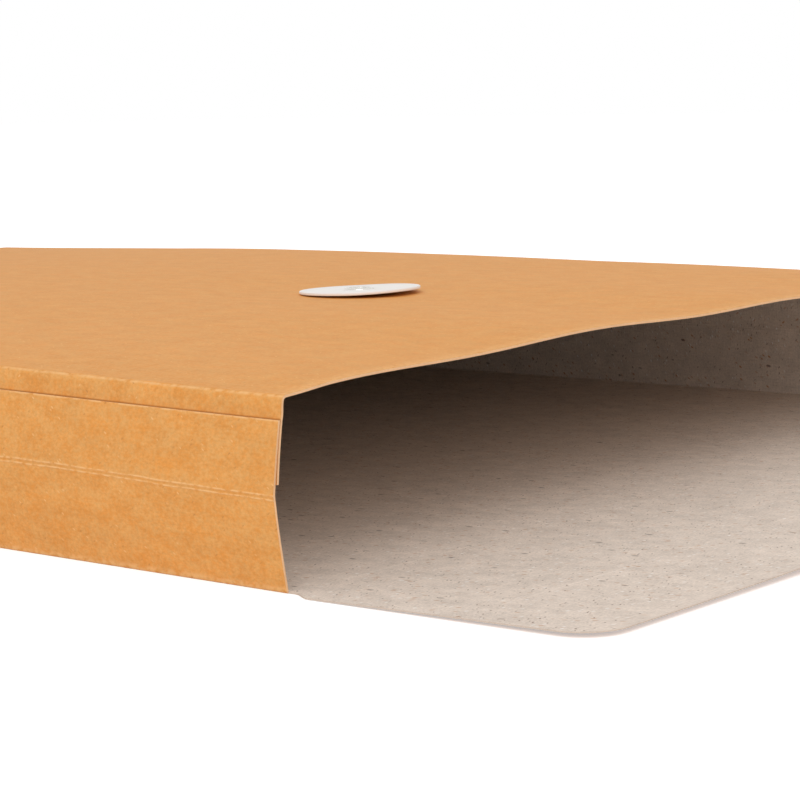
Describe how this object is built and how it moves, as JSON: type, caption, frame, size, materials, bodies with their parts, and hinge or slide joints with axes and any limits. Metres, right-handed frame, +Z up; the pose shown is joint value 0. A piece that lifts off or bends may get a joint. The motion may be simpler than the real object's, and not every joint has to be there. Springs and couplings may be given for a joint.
{
  "type": "kraft document envelope",
  "caption": "Kraft board document envelope standing open, with scored folding walls, a closing flap and two round card string buttons on metal eyelets.",
  "frame": {"origin": "centre of the bounding box's base, on the table under the back panel", "axes": "+X across the mouth, +Y from the mouth to the closed end, +Z up from the back panel to the front panel"},
  "size_m": [0.243, 0.3926, 0.0336],
  "materials": {
    "kraft_board": "matte",
    "white_card": "matte",
    "eyelet_metal": "satin"
  },
  "bodies": {
    "back": {"back_panel": "kraft_board"},
    "left_lower": {"left_wall_lower": "kraft_board"},
    "left_upper": {"left_wall_upper": "kraft_board", "left_glue_tab": "kraft_board"},
    "front": {"front_panel": "kraft_board", "front_button_eyelet": "eyelet_metal"},
    "front_disc": {"front_button_disc": "white_card"},
    "right_lower": {"right_wall_lower": "kraft_board"},
    "right_upper": {"right_wall_upper": "kraft_board", "right_glue_tab": "kraft_board"},
    "end_lower": {"end_wall_lower": "kraft_board"},
    "end_upper": {"end_wall_upper": "kraft_board", "end_glue_tab": "kraft_board"},
    "spine": {"flap_spine": "kraft_board"},
    "tongue": {"flap_tongue": "kraft_board", "flap_button_eyelet": "eyelet_metal"},
    "flap_disc": {"flap_button_disc": "white_card"}
  },
  "joints": [
    {"name": "collapse", "type": "hinge", "parent": "back", "child": "left_lower", "pos_m": [-0.12, 0, 0.0004], "axis": [0, -1, 0], "range_deg": [0, 76]},
    {"name": "left_middle_fold", "type": "hinge", "parent": "left_lower", "child": "left_upper", "pos_m": [-0.12113, 0, 0.015], "axis": [0, 1, 0], "range_deg": [0, 152]},
    {"name": "left_front_fold", "type": "hinge", "parent": "left_upper", "child": "front", "pos_m": [-0.12, 0, 0.0296], "axis": [0, -1, 0], "range_deg": [0, 76]},
    {"name": "right_front_fold", "type": "hinge", "parent": "front", "child": "right_upper", "pos_m": [0.12, 0, 0.0296], "axis": [0, -1, 0], "range_deg": [0, 76]},
    {"name": "right_middle_fold", "type": "hinge", "parent": "right_upper", "child": "right_lower", "pos_m": [0.12113, 0, 0.015], "axis": [0, 1, 0], "range_deg": [0, 152]},
    {"name": "end_front_fold", "type": "hinge", "parent": "front", "child": "end_upper", "pos_m": [0, 0.19472, 0.0296], "axis": [1, 0, 0], "range_deg": [0, 76]},
    {"name": "end_middle_fold", "type": "hinge", "parent": "end_upper", "child": "end_lower", "pos_m": [0, 0.19586, 0.015], "axis": [-1, 0, 0], "range_deg": [0, 152]},
    {"name": "flap_fold", "type": "hinge", "parent": "back", "child": "spine", "pos_m": [0, -0.14028, 0.0004], "axis": [-1, 0, 0], "range_deg": [0, 88.47]},
    {"name": "tongue_fold", "type": "hinge", "parent": "spine", "child": "tongue", "pos_m": [0, -0.17296, 0.00128], "axis": [-1, 0, 0], "range_deg": [0, 90]},
    {"name": "front_button_spin", "type": "hinge", "parent": "front", "child": "front_disc", "pos_m": [0, -0.05328, 0.0325], "axis": [0, 0, 1], "continuous": true},
    {"name": "flap_button_spin", "type": "hinge", "parent": "tongue", "child": "flap_disc", "pos_m": [0, -0.18437, 0.00118], "axis": [0, 0.0268, 0.9996], "continuous": true}
  ],
  "couplings": [
    {"joint": "left_middle_fold", "follows": "collapse", "ratio": 2},
    {"joint": "left_front_fold", "follows": "collapse", "ratio": 1},
    {"joint": "right_front_fold", "follows": "collapse", "ratio": 1},
    {"joint": "right_middle_fold", "follows": "collapse", "ratio": 2},
    {"joint": "end_front_fold", "follows": "collapse", "ratio": 1},
    {"joint": "end_middle_fold", "follows": "collapse", "ratio": 2}
  ]
}
